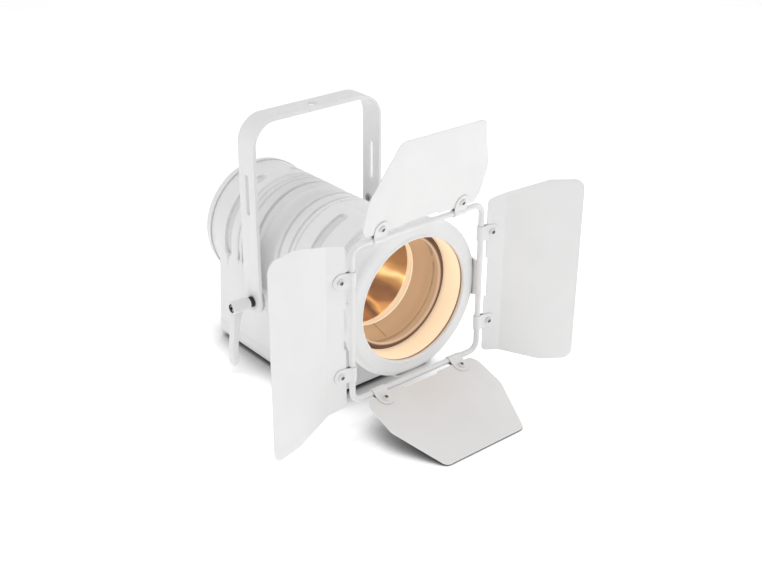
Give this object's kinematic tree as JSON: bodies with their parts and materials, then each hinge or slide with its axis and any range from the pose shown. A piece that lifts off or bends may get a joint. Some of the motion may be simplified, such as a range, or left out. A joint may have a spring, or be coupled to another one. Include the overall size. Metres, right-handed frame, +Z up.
{
  "type": "theatre spotlight",
  "caption": "White theatre spotlight with a plano-convex lens, tilting yoke with clamp lever, and a square rod frame of folding barndoor leaves.",
  "frame": {"origin": "centre of the underside of the base, where it stands on the floor", "axes": "the beam leaves along -Y, +X is to the right seen from the front, +Z is up"},
  "size_m": [0.3705, 0.4115, 0.313],
  "materials": {
    "white_cast": "fine-texture powder coat",
    "white_sheet": "satin powder coat",
    "black_metal": "satin black",
    "dark_ring": "matt dark brown",
    "zinc_steel": "bright zinc",
    "cover_steel": "satin powder coat",
    "lens_glass": "polished",
    "gasket_rubber": "matt",
    "reflector_metal": "polished, warm",
    "sink_aluminium": "anodised",
    "black_plastic": "matt",
    "window_plastic": "gloss",
    "board": "solder mask",
    "blue_plastic": "matt",
    "white_plastic": "satin"
  },
  "bodies": {
    "housing": {"housing_left": "white_cast", "housing_right": "white_cast", "front_plate": "white_sheet", "bottom_cover": "cover_steel", "cover_screws": "zinc_steel", "snoot": "white_cast", "lens_retainer": "dark_ring", "lens": "lens_glass", "lens_gasket": "gasket_rubber", "barndoor_stop_ring": "white_sheet", "light_funnel": "white_sheet", "rear_cap": "white_cast", "display_window": "window_plastic", "control_board": "board", "connector_panel": "cover_steel", "power_in": "blue_plastic", "power_out": "white_plastic", "dmx_in": "black_metal", "dmx_out": "black_metal", "fuse_holder": "black_plastic", "power_supply": "sink_aluminium", "led_driver": "board", "guide_rods": "zinc_steel", "housing_screws": "zinc_steel", "pivot_bushes": "white_plastic", "pivot_bolt": "zinc_steel"},
    "yoke": {"yoke": "white_sheet", "yoke_rivet_nut": "zinc_steel"},
    "clamp": {"clamp_stud": "black_metal", "lever_screw": "zinc_steel"},
    "lever": {"clamp_lever": "white_plastic"},
    "barndoor": {"barndoor_ring": "white_sheet", "rod_frame": "white_sheet"},
    "carriage": {"carriage_plate": "sink_aluminium", "led_board": "sink_aluminium", "heatsink": "sink_aluminium", "fan_frame": "black_plastic", "reflector": "reflector_metal", "reflector_rim": "white_sheet"},
    "fan": {"fan_rotor": "black_plastic"},
    "focus_drive": {"focus_screw": "zinc_steel", "focus_knob": "black_plastic"},
    "latch": {"dmx_latch": "zinc_steel"},
    "button_menu": {"button_menu": "black_plastic"},
    "button_down": {"button_down": "black_plastic"},
    "button_up": {"button_up": "black_plastic"},
    "button_enter": {"button_enter": "black_plastic"},
    "leaf_top": {"leaf_top": "white_sheet", "clips_top": "white_sheet", "clip_screws_top": "white_sheet"},
    "leaf_bottom": {"leaf_bottom": "white_sheet", "clips_bottom": "white_sheet", "clip_screws_bottom": "white_sheet"},
    "leaf_left": {"leaf_left": "white_sheet", "clips_left": "white_sheet", "clip_screws_left": "white_sheet"},
    "leaf_right": {"leaf_right": "white_sheet", "clips_right": "white_sheet", "clip_screws_right": "white_sheet"}
  },
  "joints": [
    {"name": "yoke_tilt", "type": "hinge", "parent": "housing", "child": "yoke", "pos_m": [0, 0.016, 0.079], "axis": [1, 0, 0], "range_deg": [-100, 40]},
    {"name": "clamp_turn", "type": "hinge", "parent": "housing", "child": "clamp", "pos_m": [0, 0.016, 0.079], "axis": [-1, 0, 0], "range_deg": [-180, 180]},
    {"name": "lever_pull", "type": "slide", "parent": "clamp", "child": "lever", "axis": [-1, 0, 0], "range_m": [0, 0.003], "stiffness_N_per_m": 800, "springref_m": -0.001},
    {"name": "barndoor_turn", "type": "hinge", "parent": "housing", "child": "barndoor", "pos_m": [0, -0.1588, 0.121], "axis": [0, 1, 0], "range_deg": [-90, 90]},
    {"name": "focus_slide", "type": "slide", "parent": "housing", "child": "carriage", "axis": [0, 1, 0], "range_m": [0, 0.04]},
    {"name": "fan_spin", "type": "hinge", "parent": "carriage", "child": "fan", "pos_m": [0, 0.0475, 0.121], "axis": [0, 1, 0], "continuous": true},
    {"name": "focus_turn", "type": "hinge", "parent": "housing", "child": "focus_drive", "pos_m": [0, 0.13, 0.0615], "axis": [0, 1, 0], "range_deg": [0, 1800]},
    {"name": "latch_press", "type": "slide", "parent": "housing", "child": "latch", "axis": [0, -1, 0], "range_m": [0, 0.002], "stiffness_N_per_m": 400, "springref_m": -0.0005},
    {"name": "menu_press", "type": "slide", "parent": "housing", "child": "button_menu", "axis": [0, -1, 0], "range_m": [0, 0.0015], "stiffness_N_per_m": 400, "springref_m": -0.0005},
    {"name": "down_press", "type": "slide", "parent": "housing", "child": "button_down", "axis": [0, -1, 0], "range_m": [0, 0.0015], "stiffness_N_per_m": 400, "springref_m": -0.0005},
    {"name": "up_press", "type": "slide", "parent": "housing", "child": "button_up", "axis": [0, -1, 0], "range_m": [0, 0.0015], "stiffness_N_per_m": 400, "springref_m": -0.0005},
    {"name": "enter_press", "type": "slide", "parent": "housing", "child": "button_enter", "axis": [0, -1, 0], "range_m": [0, 0.0015], "stiffness_N_per_m": 400, "springref_m": -0.0005},
    {"name": "leaf_top_fold", "type": "hinge", "parent": "barndoor", "child": "leaf_top", "pos_m": [0, -0.1588, 0.206], "axis": [1, 0, 0], "range_deg": [-47.5, 67.5]},
    {"name": "leaf_bottom_fold", "type": "hinge", "parent": "barndoor", "child": "leaf_bottom", "pos_m": [0, -0.1588, 0.036], "axis": [-1, 0, 0], "range_deg": [-102, 13]},
    {"name": "leaf_left_fold", "type": "hinge", "parent": "barndoor", "child": "leaf_left", "pos_m": [-0.085, -0.1588, 0.121], "axis": [0, 0, 1], "range_deg": [-22, 88]},
    {"name": "leaf_right_fold", "type": "hinge", "parent": "barndoor", "child": "leaf_right", "pos_m": [0.085, -0.1588, 0.121], "axis": [0, 0, -1], "range_deg": [-44, 66]}
  ],
  "couplings": [
    {"joint": "focus_turn", "follows": "focus_slide", "rad_per_m": 785.4}
  ]
}
